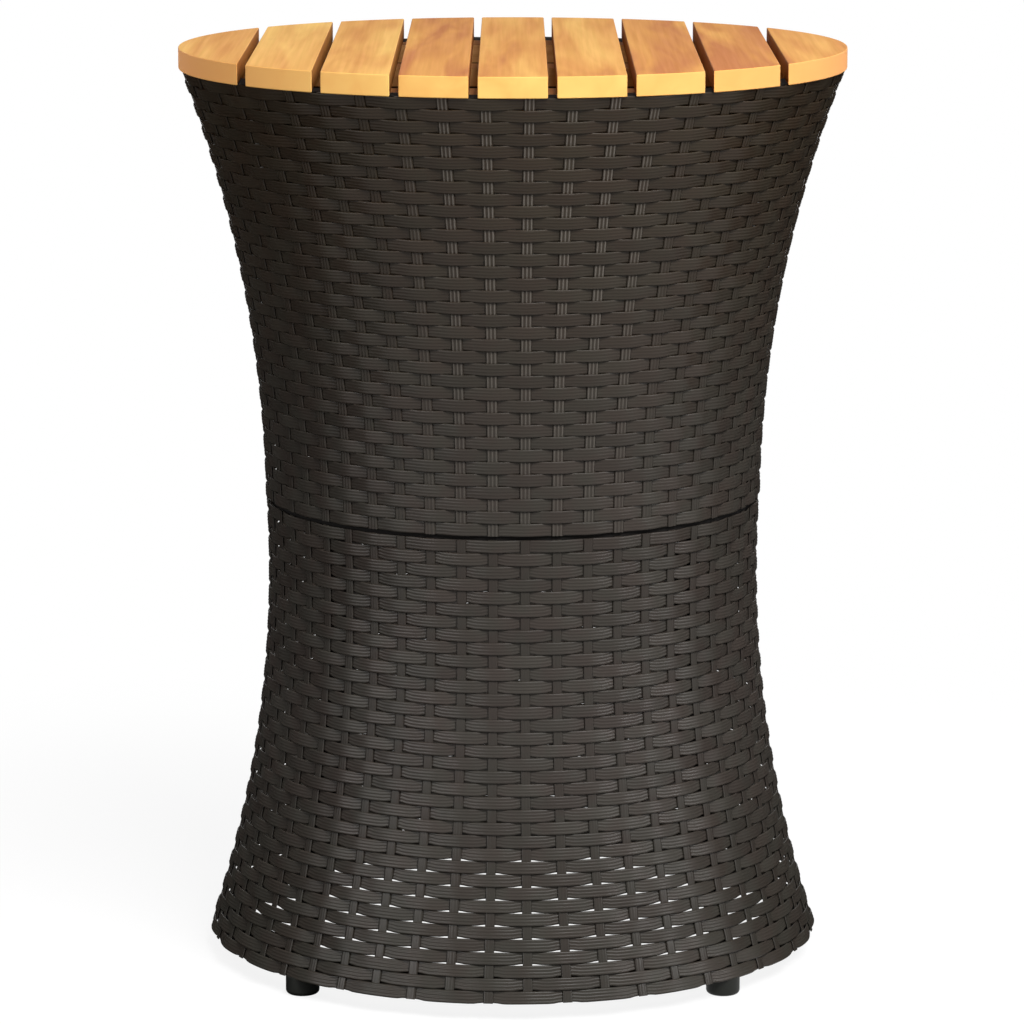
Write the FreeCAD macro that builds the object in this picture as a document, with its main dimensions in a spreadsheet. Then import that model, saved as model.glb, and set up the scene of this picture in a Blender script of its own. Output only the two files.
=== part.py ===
"""Round side table: a slatted acacia top on an hourglass drum of woven flat strands.

Two woven halves on steel frames are bolted together at the waist.
Millimetres, +Z up, origin on the floor under the middle of the top; -Y is the front.
"""
import FreeCAD, Part
import math
import os
import Sketcher

Vector = FreeCAD.Vector

# Driving dimensions: alias, value in millimetres or degrees, what it is
SIZES = [
    ("table_height", 662, "floor to the upper face of the slats"),
    ("top_diameter", 480, "round outline of the slatted top"),
    ("slat_thickness", 15, "thickness of a slat"),
    ("slat_gap", 6, "open joint between two slats"),
    ("end_slat_extra", 2.7, "width that an end slat has over an inner one"),
    ("slat_easing", 1.2, "bevel round the upper edge of a slat"),
    ("batten_thickness", 13, "thickness of the three battens under the slats"),
    ("middle_batten_width", 38, "width of the middle batten, front to back"),
    ("outer_batten_depth", 45, "outer batten, from its straight edge to its round one"),
    ("batten_clearance", 1, "batten end to the inner edge of the rim ring"),
    ("rim_inset", 1, "edge of the top to the outside of the weave under it"),
    ("rim_gap", 0.6, "shadow line between the slats and the weave"),
    ("upper_waist_radius", 180.6, "narrowest radius of the upper weave's curve"),
    ("upper_waist_height", 325.5, "height of that narrowest place"),
    ("lower_waist_radius", 179, "narrowest radius of the lower weave's curve"),
    ("lower_waist_height", 287.3, "height of that narrowest place"),
    ("base_radius", 224, "outside of the weave at its bottom edge"),
    ("seam_height", 335.6, "height of the joint between the two halves"),
    ("seam_gap", 2, "open line between the two weaves"),
    ("skin_thickness", 3.6, "woven wall over a stake, strand and stake together"),
    ("course_groove", 1.1, "height of the groove between two courses"),
    ("stake_angle", 2.75, "turn of the first stake from the front, degrees"),
    ("frame_clearance", 0.3, "steel frame to the inside of the weave"),
    ("ring_width", 22, "flat steel ring, radial width"),
    ("ring_thickness", 4, "flat steel ring, thickness"),
    ("base_upstand", 16, "height of the base ring with the upstand round its inner edge"),
    ("rib_width", 20, "curved flat bar, width along the wall"),
    ("rib_thickness", 3, "curved flat bar, thickness"),
    ("foot_height", 13.4, "floor to the bottom edge of the weave"),
    ("foot_diameter", 24, "plastic foot"),
    ("foot_rounding", 3, "rounding of the foot's lower edge"),
    ("foot_inset", 0.2, "outside of a foot to the outside of the weave's bottom edge"),
    ("foot_bore_depth", 5, "depth of the screw recess in a foot"),
    ("foot_bore_clearance", 0.5, "screw head to the wall of the recess"),
    ("hole_clearance", 0.4, "hole over screw or bolt, on diameter"),
    ("pilot_spare", 1, "depth left beyond the tip of a wood screw"),
    ("slat_screw_diameter", 4, "wood screw, batten to slat"),
    ("slat_screw_head", 8, "its head diameter"),
    ("slat_screw_head_height", 2.4, "its head height"),
    ("slat_screw_bite", 9, "its length inside a slat"),
    ("end_screw_inset", 9, "screw to the inner edge of an end slat"),
    ("outer_screw_inset", 9, "screw line to the straight edge of an outer batten"),
    ("top_screw_diameter", 5, "wood screw, rim ring to slat"),
    ("top_screw_head", 10, "its head diameter"),
    ("top_screw_head_height", 3, "its head height"),
    ("top_screw_bite", 9, "its length inside a slat"),
    ("foot_screw_diameter", 5, "machine screw, foot to base ring"),
    ("foot_screw_head", 9, "its head diameter"),
    ("foot_screw_head_height", 3, "its head height"),
    ("foot_screw_short", 0.4, "tip of the screw below the upper face of the base ring"),
    ("bolt_diameter", 8, "hexagon bolt through the two waist rings"),
    ("bolt_flats", 13, "its head and nut, across flats"),
    ("bolt_head_height", 5.3, "its head height"),
    ("nut_height", 6.5, "its nut height"),
    ("bolt_spare", 2, "bolt end beyond the nut"),
]

SLAT_COUNT = 9
STAKE_COUNT = 50
COURSE_COUNT = 36
INNER_ROWS = 6
LEG_ANGLES = (45, 135, 225, 315)
BOLT_ANGLES = (0, 90, 180, 270)
MIDDLE_SLAT = SLAT_COUNT // 2
SCREWED_BY_OUTER_BATTEN = (-2, -1, 0, 1, 2)
SCREWED_BY_RIM_RING = (-4, -1, 1, 4)

doc = FreeCAD.newDocument("rattan_side_table")
sheet = doc.addObject("Spreadsheet::Sheet", "Sizes")
for row, (alias, value, note) in enumerate(SIZES, start=1):
    sheet.set(f"A{row}", note)
    sheet.set(f"B{row}", str(value))
    sheet.setAlias(f"B{row}", alias)
doc.recompute()

derived = doc.addObject("App::VarSet", "Derived")
parts = {}


def size(alias):
    """A driving dimension as a number."""
    return float(sheet.get(alias))


def derive(name, expression):
    """A dimension that follows from the driving ones, as a property other expressions can use."""
    derived.addProperty("App::PropertyFloat", name)
    derived.setExpression(name, expression)
    doc.recompute()


def bend(rise, flare):
    """Radius of the arc that leaves the waist upright and flares out over a given rise."""
    return f"(({flare})^2 + ({rise})^2) / (2 * ({flare}))"


def skin(half, height):
    """Outer radius of a woven half at a height, as an expression."""
    bend_radius = f"Derived.{half}_bend"
    drop = f"({height}) - Sizes.{half}_waist_height"
    return f"(Sizes.{half}_waist_radius + {bend_radius} - sqrt({bend_radius}^2 - ({drop})^2))"


def skin_radius(half, height):
    """Outer radius of a woven half at a height, as a number."""
    bend_radius = getattr(derived, f"{half}_bend")
    drop = height - size(f"{half}_waist_height")
    return size(f"{half}_waist_radius") + bend_radius - math.sqrt(bend_radius ** 2 - drop ** 2)


def ring_radius(half, low, high):
    """Outer radius of a flat ring that lies inside a woven half between two heights."""
    narrowest = f"min({skin(half, low)}; {skin(half, high)})"
    return f"{narrowest} - Sizes.skin_thickness - Sizes.frame_clearance"


def derive_dimensions():
    """Heights and radii that several pieces share."""
    derive("top_radius", "Sizes.top_diameter / 2")
    derive("slat_span", f"Sizes.top_diameter - {SLAT_COUNT - 1} * Sizes.slat_gap")
    derive("slat_width", f"(Derived.slat_span - 2 * Sizes.end_slat_extra) / {SLAT_COUNT}")
    derive("slat_pitch", "Derived.slat_width + Sizes.slat_gap")
    derive("slat_floor", "Sizes.table_height - Sizes.slat_thickness")
    derive("weave_top", "Derived.slat_floor - Sizes.rim_gap")
    derive("weave_seam_top", "Sizes.seam_height + Sizes.seam_gap / 2")
    derive("weave_seam_bottom", "Sizes.seam_height - Sizes.seam_gap / 2")
    derive("rim_ring_floor", "Derived.slat_floor - Sizes.ring_thickness")
    derive("upper_waist_ring_top", "Sizes.seam_height + Sizes.ring_thickness")
    derive("lower_waist_ring_floor", "Sizes.seam_height - Sizes.ring_thickness")
    derive("base_ring_top", "Sizes.foot_height + Sizes.ring_thickness")
    derive("upper_bend", bend("Derived.weave_top - Sizes.upper_waist_height",
                              "Derived.top_radius - Sizes.rim_inset - Sizes.upper_waist_radius"))
    derive("lower_bend", bend("Sizes.lower_waist_height - Sizes.foot_height",
                              "Sizes.base_radius - Sizes.lower_waist_radius"))
    derive("rim_ring_radius", ring_radius("upper", "Derived.rim_ring_floor", "Derived.slat_floor"))
    derive("upper_waist_ring_radius",
           ring_radius("upper", "Sizes.seam_height", "Derived.upper_waist_ring_top"))
    derive("lower_waist_ring_radius",
           ring_radius("lower", "Derived.lower_waist_ring_floor", "Sizes.seam_height"))
    derive("base_ring_radius", ring_radius("lower", "Sizes.foot_height", "Derived.base_ring_top"))
    derive("batten_radius", "Derived.rim_ring_radius - Sizes.ring_width - Sizes.batten_clearance")
    derive("batten_floor", "Derived.slat_floor - Sizes.batten_thickness")
    derive("outer_batten_reach", "Derived.batten_radius - Sizes.outer_batten_depth")
    derive("outer_screw_line", "Derived.outer_batten_reach + Sizes.outer_screw_inset")
    derive("end_screw_line",
           f"{MIDDLE_SLAT} * Derived.slat_pitch - Derived.slat_width / 2 + Sizes.end_screw_inset")
    derive("top_screw_circle", "Derived.rim_ring_radius - Sizes.ring_width / 2")
    derive("bolt_circle",
           "min(Derived.upper_waist_ring_radius; Derived.lower_waist_ring_radius) - Sizes.ring_width / 2")
    derive("foot_circle", "Sizes.base_radius - Sizes.foot_inset - Sizes.foot_diameter / 2")
    derive("rib_sink", "Sizes.rib_width^2 / (8 * (Sizes.lower_waist_radius - Sizes.skin_thickness))")


def new_body(label, floor):
    """An empty body whose own floor lies at a height given as an expression."""
    body = doc.addObject("PartDesign::Body", label)
    body.Label = label
    body.setExpression("Placement.Base.z", floor)
    parts[label] = body
    return body


def new_sketch(body, name, role):
    """An empty sketch on one of a body's own origin planes."""
    plane = next(feature for feature in body.Origin.OriginFeatures if feature.Role == role)
    sketch = body.newObject("Sketcher::SketchObject", name)
    sketch.AttachmentSupport = [(plane, "")]
    sketch.MapMode = "FlatFace"
    return sketch


def place_point(sketch, geometry, position, across, up):
    """Fix one point of a sketch by two expressions measured from the origin."""
    for kind, expression in (("DistanceX", across), ("DistanceY", up)):
        number = sketch.addConstraint(Sketcher.Constraint(kind, -1, 1, geometry, position, 1.0))
        sketch.setExpression(f"Constraints[{number}]", expression)


def outline(body, name, role, corners):
    """A closed outline of straight lines through corners given as pairs of expressions."""
    sketch = new_sketch(body, name, role)
    count = len(corners)
    turn = 2 * math.pi / count
    start = [Vector(math.cos(i * turn), math.sin(i * turn), 0) for i in range(count)]
    for i in range(count):
        sketch.addGeometry(Part.LineSegment(start[i], start[(i + 1) % count]), False)
    for i in range(count):
        sketch.addConstraint(Sketcher.Constraint("Coincident", i, 2, (i + 1) % count, 1))
    for i, (across, up) in enumerate(corners):
        place_point(sketch, i, 1, across, up)
    return sketch


def rectangle(left, right, low, high):
    """The four corners of a rectangle, as expressions."""
    return [(left, low), (right, low), (right, high), (left, high)]


def pad(body, sketch, height):
    """Raise an outline by a height."""
    feature = body.newObject("PartDesign::Pad", "pad")
    feature.Profile = sketch
    feature.setExpression("Length", height)
    doc.recompute()
    return feature


def turned(body, kind, sketch):
    """Turn an outline right round the upright axis, adding or cutting material."""
    feature = body.newObject(kind, "turned")
    feature.Profile = sketch
    feature.ReferenceAxis = (sketch, ["V_Axis"])
    feature.Angle = 360
    doc.recompute()
    return feature


def trim_round(body, radius, height):
    """Cut away what lies outside an upright cylinder."""
    before = body.Shape.Volume
    corners = rectangle(radius, f"2 * ({radius})", f"-({height})", f"2 * ({height})")
    turned(body, "PartDesign::Groove", outline(body, "round_trim", "XZ_Plane", corners))
    if body.Shape.Volume >= before:
        raise RuntimeError(f"{body.Label}: the round trim cut nothing")


def holes(body, name, centres, diameter, depth=None):
    """Drill upwards from a body's own floor, to a depth or right through, at pairs of expressions."""
    before = body.Shape.Volume
    sketch = new_sketch(body, name, "XY_Plane")
    for i, (across, up) in enumerate(centres):
        sketch.addGeometry(Part.Circle(Vector(i, 0, 0), Vector(0, 0, 1), 1), False)
        place_point(sketch, i, 3, across, up)
        number = sketch.addConstraint(Sketcher.Constraint("Diameter", i, 2.0))
        sketch.setExpression(f"Constraints[{number}]", diameter)
    feature = body.newObject("PartDesign::Pocket", "drilled")
    feature.Profile = sketch
    feature.Reversed = True
    if depth:
        feature.setExpression("Length", depth)
    else:
        feature.Type = "ThroughAll"
    doc.recompute()
    if body.Shape.Volume >= before:
        raise RuntimeError(f"{body.Label}: {name} cut nothing")


def polar(radius, angles):
    """Centres on a circle, as pairs of expressions."""
    return [(f"{radius} * cos({angle} deg)", f"{radius} * sin({angle} deg)") for angle in angles]


def slat_middle(place):
    """Distance of a slat's screws from the middle of the top, as an expression."""
    if abs(place) == MIDDLE_SLAT:
        return f"{int(math.copysign(1, place))} * Derived.end_screw_line"
    return f"{place} * Derived.slat_pitch"


def slat_screw_centres(place):
    """Screws through the battens into one slat."""
    middle = slat_middle(place)
    lines = ["0"]
    if place in SCREWED_BY_OUTER_BATTEN:
        lines += ["Derived.outer_screw_line", "-Derived.outer_screw_line"]
    return [(middle, line) for line in lines]


def top_screw_centres(place):
    """Screws through the rim ring into the two ends of one slat."""
    across = f"({place} * Derived.slat_pitch)"
    along = f"sqrt(Derived.top_screw_circle^2 - {across}^2)"
    return [(across, along), (across, f"-{along}")]


def make_slat(place):
    """One slat, straight along its sides and round at its ends; the end slats run out to the edge."""
    body = new_body(f"top_slat_{place + MIDDLE_SLAT + 1}", "Derived.slat_floor")
    left = f"{place} * Derived.slat_pitch - Derived.slat_width / 2"
    right = f"{place} * Derived.slat_pitch + Derived.slat_width / 2"
    if place == -MIDDLE_SLAT:
        left = "-Derived.top_radius"
    if place == MIDDLE_SLAT:
        right = "Derived.top_radius"
    corners = rectangle(left, right, "-Derived.top_radius", "Derived.top_radius")
    pad(body, outline(body, "blank", "XY_Plane", corners), "Sizes.slat_thickness")
    trim_round(body, "Derived.top_radius", "Sizes.slat_thickness")
    holes(body, "batten_screw_holes", slat_screw_centres(place),
          "Sizes.slat_screw_diameter + Sizes.hole_clearance", "Sizes.slat_screw_bite + Sizes.pilot_spare")
    if place in SCREWED_BY_RIM_RING:
        holes(body, "rim_screw_holes", top_screw_centres(place),
              "Sizes.top_screw_diameter + Sizes.hole_clearance",
              "Sizes.top_screw_bite + Sizes.pilot_spare")
    drilled = body.Tip
    faces = drilled.Shape.Faces
    upper = max(range(len(faces)), key=lambda number: faces[number].CenterOfMass.z)
    easing = body.newObject("PartDesign::Chamfer", "easing")
    easing.Base = (drilled, [f"Face{upper + 1}"])
    easing.setExpression("Size", "Sizes.slat_easing")
    doc.recompute()


def make_batten(label, front, back, centres):
    """One batten across the undersides of the slats, round at its ends to fit inside the rim ring."""
    body = new_body(label, "Derived.batten_floor")
    corners = rectangle("-Derived.batten_radius", "Derived.batten_radius", front, back)
    pad(body, outline(body, "blank", "XY_Plane", corners), "Sizes.batten_thickness")
    trim_round(body, "Derived.batten_radius", "Sizes.batten_thickness")
    holes(body, "slat_screw_holes", centres, "Sizes.slat_screw_diameter + Sizes.hole_clearance")


def make_ring(label, floor, radius, centres, diameter, upstand=None):
    """One flat steel ring, drilled for its screws or bolts; an upstand may stiffen its inner edge."""
    body = new_body(label, floor)
    inner = f"{radius} - Sizes.ring_width"
    corners = rectangle(inner, radius, "0", "Sizes.ring_thickness")
    if upstand:
        outside = f"{inner} + Sizes.ring_thickness"
        corners[3:] = [(outside, "Sizes.ring_thickness"), (outside, upstand), (inner, upstand)]
    turned(body, "PartDesign::Revolution", outline(body, "section", "XZ_Plane", corners))
    holes(body, "screw_holes", centres, f"{diameter} + Sizes.hole_clearance")


def make_rib(label, half, low, high, angle):
    """One curved flat bar, welded between two rings and following the inside of the weave."""
    inset = size("skin_thickness") + size("frame_clearance") + derived.rib_sink

    def edge(depth):
        heights = (low, (low + high) / 2, high)
        points = [Vector(skin_radius(half, height) - inset - depth, 0, height) for height in heights]
        return Part.Arc(*points).toShape()

    outer = edge(0)
    inner = edge(size("rib_thickness"))
    ends = [Part.makeLine(inner.Vertexes[i].Point, outer.Vertexes[i].Point) for i in (0, 1)]
    section = Part.Face(Part.Wire(Part.__sortEdges__([outer, ends[1], inner, ends[0]])))
    section.translate(Vector(0, -size("rib_width") / 2, 0))
    rib = doc.addObject("Part::Feature", label)
    rib.Label = label
    rib.Shape = section.extrude(Vector(0, size("rib_width"), 0))
    rib.Placement = FreeCAD.Placement(Vector(), FreeCAD.Rotation(Vector(0, 0, 1), angle))
    parts[label] = rib


def ring_points(radius, height, count, turn):
    """Corners of an even-sided ring, counted from the front towards +X."""
    angles = [turn + 2 * math.pi * i / count for i in range(count)]
    return [Vector(radius * math.sin(a), -radius * math.cos(a), height) for a in angles]


def face(*points):
    """A flat face through its corners."""
    return Part.Face(Part.makePolygon([*points, points[0]]))


def band(lower, upper):
    """Flat panels between two rings that have their corners one above the other."""
    count = len(lower)
    following = [(i + 1) % count for i in range(count)]
    return [face(lower[i], lower[j], upper[j], upper[i]) for i, j in enumerate(following)]


def groove(lower, upper):
    """Triangles between two rings whose corners stand half a side apart."""
    count = len(lower)
    panels = []
    for i in range(count):
        j = (i + 1) % count
        panels.append(face(lower[i], lower[j], upper[i]))
        panels.append(face(upper[i], lower[j], upper[j]))
    return panels


def make_weave(label, half, low, high, turned_courses):
    """The woven wall of one half.

    A strand drawn tight over every second stake makes a ring of straight runs. Its corners stand over
    the stakes that it passes in front of, and its sides run behind the stakes between them. The next
    course is turned by one stake, so the corners of one course lie over the sides of the next.
    """
    stake_step = 2 * math.pi / STAKE_COUNT
    first_stake = math.radians(size("stake_angle"))
    half_groove = size("course_groove") / 2
    pitch = (high - low) / COURSE_COUNT
    corner_count = STAKE_COUNT // 2
    panels = []
    rings = []
    for course in range(COURSE_COUNT):
        floor = low + course * pitch + (half_groove if course else 0)
        ceiling = low + (course + 1) * pitch - (half_groove if course < COURSE_COUNT - 1 else 0)
        turn = first_stake + stake_step * ((course + turned_courses) % 2)
        pair = [ring_points(skin_radius(half, z), z, corner_count, turn) for z in (floor, ceiling)]
        panels += band(*pair)
        rings.append(pair)
    for course in range(COURSE_COUNT - 1):
        below = rings[course][1]
        above = rings[course + 1][0]
        if (course + turned_courses) % 2:
            above = above[1:] + above[:1]
        panels += groove(below, above)
    flat_turn = first_stake + stake_step / 2
    inner = []
    for row in range(INNER_ROWS + 1):
        height = low + (high - low) * row / INNER_ROWS
        flat_radius = skin_radius(half, height) - size("skin_thickness")
        inner.append(ring_points(flat_radius / math.cos(stake_step / 2), height, STAKE_COUNT, flat_turn))
    for row in range(INNER_ROWS):
        panels += band(inner[row], inner[row + 1])
    for outer_ring, inner_ring in ((rings[0][0], inner[0]), (rings[-1][1], inner[-1])):
        loops = [Part.makePolygon([*ring, ring[0]]) for ring in (outer_ring, inner_ring)]
        panels.append(Part.makeFace(loops, "Part::FaceMakerBullseye"))
    wall = Part.makeCompound(panels)
    wall.sewShape()
    solid = Part.makeSolid(wall.Shells[0])
    if solid.Volume < 0:
        solid.reverse()
    weave = doc.addObject("Part::Feature", label)
    weave.Label = label
    weave.Shape = solid
    parts[label] = weave


def make_feet():
    """Four plastic feet, each with a recess for its screw and a rounded lower edge."""
    radius = "Sizes.foot_diameter / 2"
    hole = "(Sizes.foot_screw_diameter + Sizes.hole_clearance) / 2"
    recess = "Sizes.foot_screw_head / 2 + Sizes.foot_bore_clearance"
    corners = [(hole, "Sizes.foot_height"), (hole, "Sizes.foot_bore_depth"),
               (recess, "Sizes.foot_bore_depth"), (recess, "0"), (radius, "0"),
               (radius, "Sizes.foot_height")]
    names = ("rear_right_foot", "rear_left_foot", "front_left_foot", "front_right_foot")
    for label, (across, along) in zip(names, polar("Derived.foot_circle", LEG_ANGLES)):
        body = new_body(label, "0")
        body.setExpression("Placement.Base.x", across)
        body.setExpression("Placement.Base.y", along)
        turned(body, "PartDesign::Revolution", outline(body, "section", "XZ_Plane", corners))
        plain = body.Tip
        edges = plain.Shape.Edges
        lowest = [n for n, edge in enumerate(edges) if edge.BoundBox.ZMax < size("foot_rounding")]
        rim = max(lowest, key=lambda number: edges[number].BoundBox.XLength)
        rounding = body.newObject("PartDesign::Fillet", "rounding")
        rounding.Base = (plain, [f"Edge{rim + 1}"])
        rounding.setExpression("Radius", "Sizes.foot_rounding")
        doc.recompute()


def cylinder(name, diameter, low, height):
    """An upright cylinder from a height, all given as expressions."""
    rod = doc.addObject("Part::Cylinder", name)
    rod.setExpression("Radius", f"({diameter}) / 2")
    rod.setExpression("Height", height)
    rod.setExpression("Placement.Base.z", low)
    return rod


def hexagon(name, low, height):
    """An upright hexagon prism of the bolt's width across flats."""
    prism = doc.addObject("Part::Prism", name)
    prism.Polygon = 6
    prism.setExpression("Circumradius", "Sizes.bolt_flats / 2 / cos(30 deg)")
    prism.setExpression("Height", height)
    prism.setExpression("Placement.Base.z", low)
    return prism


def joined(kind, name, base, tool):
    """Fuse or cut two shapes."""
    result = doc.addObject(kind, name)
    result.Base = base
    result.Tool = tool
    doc.recompute()
    return result


def round_screw(name, length):
    """A screw with a flat round head; its head's seat lies at height zero and its tip points up."""
    head = cylinder(f"{name}_head", f"Sizes.{name}_head", f"-Sizes.{name}_head_height",
                    f"Sizes.{name}_head_height")
    shank = cylinder(f"{name}_shank", f"Sizes.{name}_diameter", "0", length)
    return joined("Part::Fuse", name, head, shank)


def place_group(label, pattern, centres, height):
    """Copies of one fastener as separate solids, at centres given as pairs of expressions."""
    copies = []
    for across, along in centres:
        copy = pattern.Shape.copy()
        point = Vector(float(derived.evalExpression(across)), float(derived.evalExpression(along)), height)
        copy.translate(point)
        copies.append(copy)
    group = doc.addObject("Part::Feature", label)
    group.Label = label
    group.Shape = Part.makeCompound(copies)
    parts[label] = group


def make_fasteners():
    """Wood screws, foot screws, waist bolts and their nuts."""
    places = range(-MIDDLE_SLAT, MIDDLE_SLAT + 1)
    slat_centres = [centre for place in places for centre in slat_screw_centres(place)]
    slat_screw = round_screw("slat_screw", "Sizes.batten_thickness + Sizes.slat_screw_bite")
    place_group("slat_screws", slat_screw, slat_centres, derived.batten_floor)

    rim_centres = [centre for place in SCREWED_BY_RIM_RING for centre in top_screw_centres(place)]
    top_screw = round_screw("top_screw", "Sizes.ring_thickness + Sizes.top_screw_bite")
    place_group("top_screws", top_screw, rim_centres, derived.rim_ring_floor)

    foot_centres = polar("Derived.foot_circle", LEG_ANGLES)
    foot_screw = round_screw("foot_screw", "Derived.base_ring_top - Sizes.foot_bore_depth"
                                           " - Sizes.foot_screw_short")
    place_group("foot_screws", foot_screw, foot_centres, size("foot_bore_depth"))

    bolt_centres = polar("Derived.bolt_circle", BOLT_ANGLES)
    head = hexagon("bolt_head", "-Sizes.bolt_head_height", "Sizes.bolt_head_height")
    shank = cylinder("bolt_shank", "Sizes.bolt_diameter", "0",
                     "2 * Sizes.ring_thickness + Sizes.nut_height + Sizes.bolt_spare")
    bolt = joined("Part::Fuse", "bolt", head, shank)
    place_group("waist_bolts", bolt, bolt_centres, derived.lower_waist_ring_floor)

    blank = hexagon("nut_blank", "0", "Sizes.nut_height")
    bore = cylinder("nut_bore", "Sizes.bolt_diameter + Sizes.hole_clearance", "0", "Sizes.nut_height")
    nut = joined("Part::Cut", "nut", blank, bore)
    place_group("waist_nuts", nut, bolt_centres, derived.upper_waist_ring_top)


def make_top():
    """Nine slats on three battens."""
    for place in range(-MIDDLE_SLAT, MIDDLE_SLAT + 1):
        make_slat(place)
    inner = [slat_middle(place) for place in SCREWED_BY_OUTER_BATTEN]
    every = [slat_middle(place) for place in range(-MIDDLE_SLAT, MIDDLE_SLAT + 1)]
    make_batten("front_batten", "-Derived.batten_radius", "-Derived.outer_batten_reach",
                [(middle, "-Derived.outer_screw_line") for middle in inner])
    make_batten("middle_batten", "-Sizes.middle_batten_width / 2", "Sizes.middle_batten_width / 2",
                [(middle, "0") for middle in every])
    make_batten("rear_batten", "Derived.outer_batten_reach", "Derived.batten_radius",
                [(middle, "Derived.outer_screw_line") for middle in inner])


def make_frames():
    """Flat rings at the rim, the waist and the base, with curved ribs between them."""
    rim_centres = [centre for place in SCREWED_BY_RIM_RING for centre in top_screw_centres(place)]
    bolt_centres = polar("Derived.bolt_circle", BOLT_ANGLES)
    make_ring("rim_ring", "Derived.rim_ring_floor", "Derived.rim_ring_radius", rim_centres,
              "Sizes.top_screw_diameter")
    make_ring("upper_waist_ring", "Sizes.seam_height", "Derived.upper_waist_ring_radius", bolt_centres,
              "Sizes.bolt_diameter")
    make_ring("lower_waist_ring", "Derived.lower_waist_ring_floor", "Derived.lower_waist_ring_radius",
              bolt_centres, "Sizes.bolt_diameter")
    make_ring("base_ring", "Sizes.foot_height", "Derived.base_ring_radius",
              polar("Derived.foot_circle", LEG_ANGLES), "Sizes.foot_screw_diameter", "Sizes.base_upstand")
    for number, angle in enumerate(LEG_ANGLES, start=1):
        make_rib(f"upper_rib_{number}", "upper", derived.upper_waist_ring_top, derived.rim_ring_floor, angle)
        make_rib(f"lower_rib_{number}", "lower", derived.base_ring_top, derived.lower_waist_ring_floor, angle)


def make_weaves():
    """The woven walls of the two halves; the courses alternate right through the seam."""
    make_weave("upper_weave", "upper", derived.weave_seam_top, derived.weave_top, 0)
    make_weave("lower_weave", "lower", size("foot_height"), derived.weave_seam_bottom, 0)


def write_parts():
    """Check every object, then write each piece to its own file."""
    doc.recompute()
    for item in doc.Objects:
        if {"Invalid", "Error"} & set(item.State):
            raise RuntimeError(f"{item.Label} failed: {item.State}")
    for label, item in parts.items():
        if item.Shape.isNull() or not item.Shape.isValid():
            raise RuntimeError(f"{label} has no valid shape")
    os.makedirs("parts", exist_ok=True)
    for label, item in parts.items():
        item.Shape.exportStep(f"parts/{label}.step")


derive_dimensions()
make_top()
make_frames()
make_weaves()
make_feet()
make_fasteners()
write_parts()
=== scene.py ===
"""Looks of a round side table: an acacia slat top on an hourglass drum of woven flat strands.

Metres, +Z up, origin on the floor under the middle of the top; -Y is the front.
"""
import math

import bpy
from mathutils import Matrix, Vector


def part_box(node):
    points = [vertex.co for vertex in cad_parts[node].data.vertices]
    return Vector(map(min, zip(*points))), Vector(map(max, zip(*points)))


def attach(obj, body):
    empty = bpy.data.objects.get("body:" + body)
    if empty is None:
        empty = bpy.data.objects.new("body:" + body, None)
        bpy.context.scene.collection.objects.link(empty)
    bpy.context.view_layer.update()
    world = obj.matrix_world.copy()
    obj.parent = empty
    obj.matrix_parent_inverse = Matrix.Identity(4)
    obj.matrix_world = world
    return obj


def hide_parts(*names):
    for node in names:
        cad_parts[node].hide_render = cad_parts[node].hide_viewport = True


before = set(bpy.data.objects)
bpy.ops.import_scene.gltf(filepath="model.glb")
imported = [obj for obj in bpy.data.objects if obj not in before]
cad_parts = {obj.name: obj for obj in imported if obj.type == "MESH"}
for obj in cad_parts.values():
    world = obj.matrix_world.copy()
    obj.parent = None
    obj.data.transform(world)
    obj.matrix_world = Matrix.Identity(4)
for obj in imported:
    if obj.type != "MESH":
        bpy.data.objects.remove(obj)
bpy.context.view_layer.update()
scene = bpy.context.scene

MM = 0.001
WHITE = (1, 1, 1, 1)

# The weave: stakes stand round the drum, and courses of strand pass over one and under one
STAKE_COUNT = 50
COURSE_COUNT = 36
FIRST_STAKE = math.radians(2.75)
STEPS_PER_STAKE = 8
STEPS_PER_COURSE = 3
# Bands of courses keep each piece under 200,000 triangles
BANDS_PER_HALF = 3

# Strands and stakes have round ribs along a crowned face, and a flat back that is a share of their width
STRAND_THICKNESS = 1.2 * MM
STRAND_RIBS = 4
STRAND_CROWN = 0.2 * MM
STAKE_RIBS = 3
STAKE_CROWN = 0.35 * MM
STEPS_PER_RIB = 4
BACK_CORNERS = 2
BACK_WIDTH = 0.7
# How narrow the painted highlight on each rib crest is
HIGHLIGHT_SHARPNESS = 3.0

# They swing in and out of the wall, and a strand strays a little up and down as it goes round
STRAND_SWING = 1.2 * MM
STAKE_SWING = 0.1 * MM
STRAND_UNEVENNESS = 0.3 * MM
STRAY_SCALE = 9.0
STRAY_STEP = 7.3
# A strand's wave is 1 in front of a stake and -1 behind one; from this value on it rides up or down
RIDE_WAVE = -0.2

# Tones are drawn from 0 up to the lightest one
LIGHTEST_STRAND = 1.0
STRAND_SEED = 11
STAKE_SEED = 5

# The ribs carry a painted highlight at the front, a little to the right
HIGHLIGHT_TURN = math.radians(5)
HIGHLIGHT_SIDE = (math.sin(HIGHLIGHT_TURN), -math.cos(HIGHLIGHT_TURN), 0)
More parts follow.
